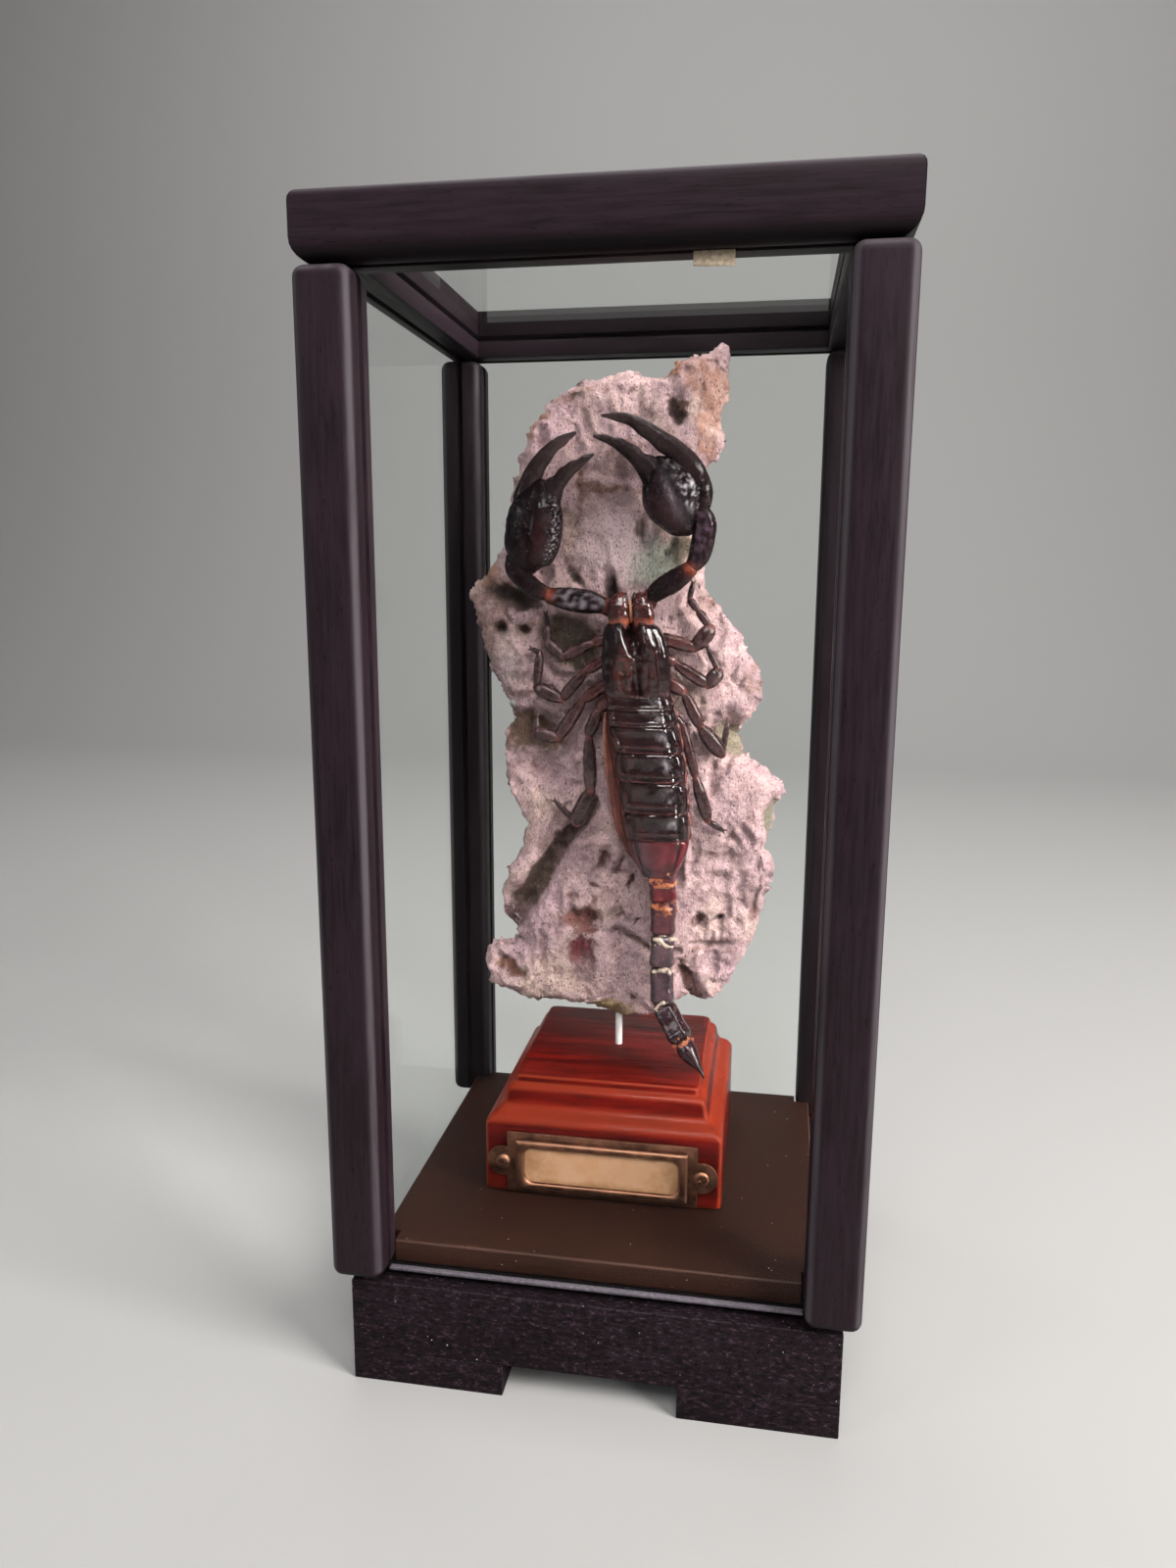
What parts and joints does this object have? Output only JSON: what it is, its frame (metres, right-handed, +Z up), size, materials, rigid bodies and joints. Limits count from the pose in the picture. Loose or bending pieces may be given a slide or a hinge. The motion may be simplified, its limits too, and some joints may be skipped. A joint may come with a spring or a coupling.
{
  "type": "scorpion specimen in display case",
  "caption": "Dried black scorpion on a bark slab, pinned to a moulded red wood stand with a blank label, in a black wood case with a lift-off glass cover.",
  "frame": {"origin": "centre of the case's footprint, on the plane the four feet stand on", "axes": "+Z up along the case's height; the specimen and the label face -Y; +X to the right seen from the front"},
  "size_m": [0.126, 0.1146, 0.275],
  "materials": {
    "black_wood": "black stained, satin",
    "brown_wood": "very dark brown, satin",
    "red_wood": "red mahogany stain, gloss",
    "clear_glass": "clear",
    "bronze": "dark bronzed",
    "parchment": "matt aged card",
    "rod_metal": "satin off white",
    "bark": "weathered, matt, granular",
    "shell": "glossy chitin"
  },
  "bodies": {
    "root": {"plinth": "black_wood", "foot_front_left": "black_wood", "foot_front_right": "black_wood", "foot_back_left": "black_wood", "foot_back_right": "black_wood", "cover_seat": "black_wood", "floor_board": "brown_wood", "post_front_left": "black_wood", "post_front_right": "black_wood", "post_back_left": "black_wood", "post_back_right": "black_wood", "rail_front": "black_wood", "rail_back": "black_wood", "rail_left": "black_wood", "rail_right": "black_wood", "glass_front": "clear_glass", "glass_back": "clear_glass", "glass_left": "clear_glass", "glass_right": "clear_glass", "glass_top": "clear_glass", "stand": "red_wood", "label_holder": "bronze", "label_card": "parchment", "label_screw_left": "bronze", "label_screw_right": "bronze", "rod": "rod_metal", "bark": "bark", "scorpion": "shell"}
  },
  "joints": []
}
